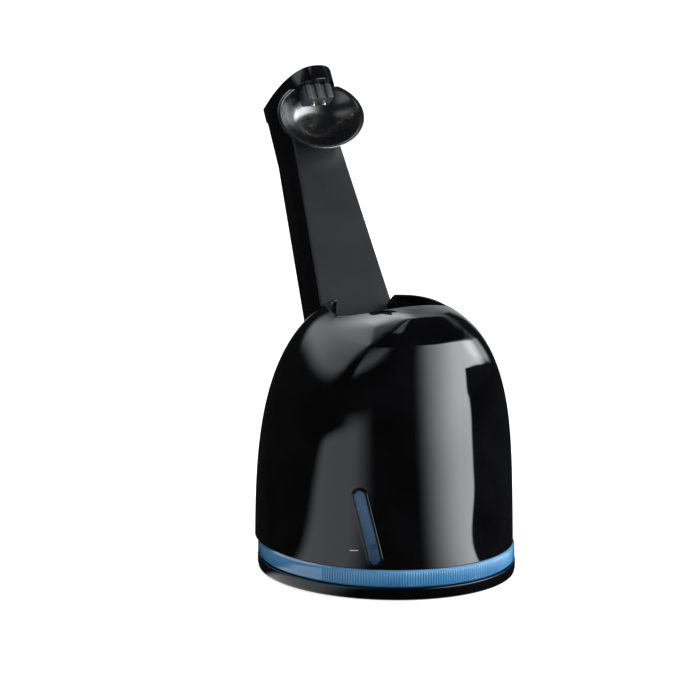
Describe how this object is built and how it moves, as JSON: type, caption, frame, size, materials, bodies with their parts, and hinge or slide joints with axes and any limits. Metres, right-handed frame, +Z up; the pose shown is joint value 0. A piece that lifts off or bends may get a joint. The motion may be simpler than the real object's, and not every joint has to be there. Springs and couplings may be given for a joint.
{
  "type": "shaver cleaning station",
  "caption": "Domed cleaning station for an electric shaver, with a leaning tower, a contact hook and dish, a lift-up housing and a blue fluid cartridge in its foot.",
  "frame": {"origin": "middle of the oval footprint, on the underside that stands on the table", "axes": "+Z up, -Y the front with the dome's panel, +Y the back where the tower leans out, +X the right of a viewer who looks at the front"},
  "size_m": [0.122, 0.1983, 0.2311],
  "materials": {
    "black_gloss": "deep black polished plastic",
    "tower_grey": "dark grey satin plastic",
    "contact_grey": "dark grey matte plastic",
    "bowl_black": "black satin plastic",
    "cartridge_blue": "sky blue translucent plastic",
    "lens_blue": "steel blue transparent plastic",
    "rubber": "black rubber",
    "seal_grey": "grey rubber",
    "steel": "bright steel",
    "contact_metal": "polished plated metal",
    "inner_grey": "dark grey moulded plastic",
    "tube_grey": "grey flexible plastic",
    "board_green": "green circuit board",
    "parts_dark": "dark electronic parts"
  },
  "bodies": {
    "base": {"base_tray": "black_gloss", "rubber_feet": "rubber", "base_screws": "steel", "guide_column": "inner_grey", "cartridge_tub": "cartridge_blue", "cartridge_lid": "cartridge_blue", "port_seals": "seal_grey"},
    "housing": {"front_shell": "black_gloss", "rear_shell": "black_gloss", "shell_screws": "steel", "deck_plate": "inner_grey", "docking_bowl": "bowl_black", "drain_tube": "tube_grey", "lift_carriage": "inner_grey", "carriage_screws": "steel", "pump_housing": "inner_grey", "pump_motor": "steel", "suction_tube": "tube_grey", "supply_tube": "tube_grey", "circuit_board": "board_green", "board_parts": "parts_dark", "power_socket": "bowl_black", "socket_pins": "contact_metal", "tower_bracket": "inner_grey", "tower_front_cover": "tower_grey", "tower_rear_cover": "black_gloss", "tower_screws": "steel", "hood_cap": "black_gloss", "hood_underside": "bowl_black", "contact_dish": "black_gloss", "contact_block": "contact_grey", "pin_springs": "steel", "window_frame": "black_gloss", "level_lens": "lens_blue", "pointer_guide": "bowl_black", "latch_pin": "steel", "latch_spring": "steel"},
    "contact_pin_left": {"contact_pin_left": "contact_metal"},
    "contact_pin_right": {"contact_pin_right": "contact_metal"},
    "level_pointer": {"level_pointer": "bowl_black"},
    "lift_button": {"lift_button": "tower_grey"},
    "latch_lever": {"latch_lever": "inner_grey"},
    "pump_rotor": {"pump_rotor": "steel"}
  },
  "joints": [
    {"name": "housing_lift", "type": "slide", "parent": "base", "child": "housing", "axis": [0, 0, 1], "range_m": [0, 0.036]},
    {"name": "left_pin_push", "type": "slide", "parent": "housing", "child": "contact_pin_left", "axis": [0, 0.6018, 0.7986], "range_m": [0, 0.0015], "stiffness_N_per_m": 150, "springref_m": -0.001},
    {"name": "right_pin_push", "type": "slide", "parent": "housing", "child": "contact_pin_right", "axis": [0, 0.6018, 0.7986], "range_m": [0, 0.0015], "stiffness_N_per_m": 150, "springref_m": -0.001},
    {"name": "pointer_slide", "type": "slide", "parent": "housing", "child": "level_pointer", "axis": [-0.1828, 0.1887, 0.9649], "range_m": [0, 0.024]},
    {"name": "button_push", "type": "slide", "parent": "housing", "child": "lift_button", "axis": [0, -1, 0], "range_m": [0, 0.003], "stiffness_N_per_m": 400, "springref_m": -0.001},
    {"name": "latch_turn", "type": "hinge", "parent": "housing", "child": "latch_lever", "pos_m": [0, 0.058, 0.066], "axis": [1, 0, 0], "range_deg": [0, 20.6]},
    {"name": "rotor_spin", "type": "hinge", "parent": "housing", "child": "pump_rotor", "pos_m": [-0.03136, 0.032, 0.06], "axis": [0, 0, 1], "continuous": true}
  ],
  "couplings": [
    {"joint": "latch_turn", "follows": "button_push", "rad_per_m": 119.3}
  ]
}
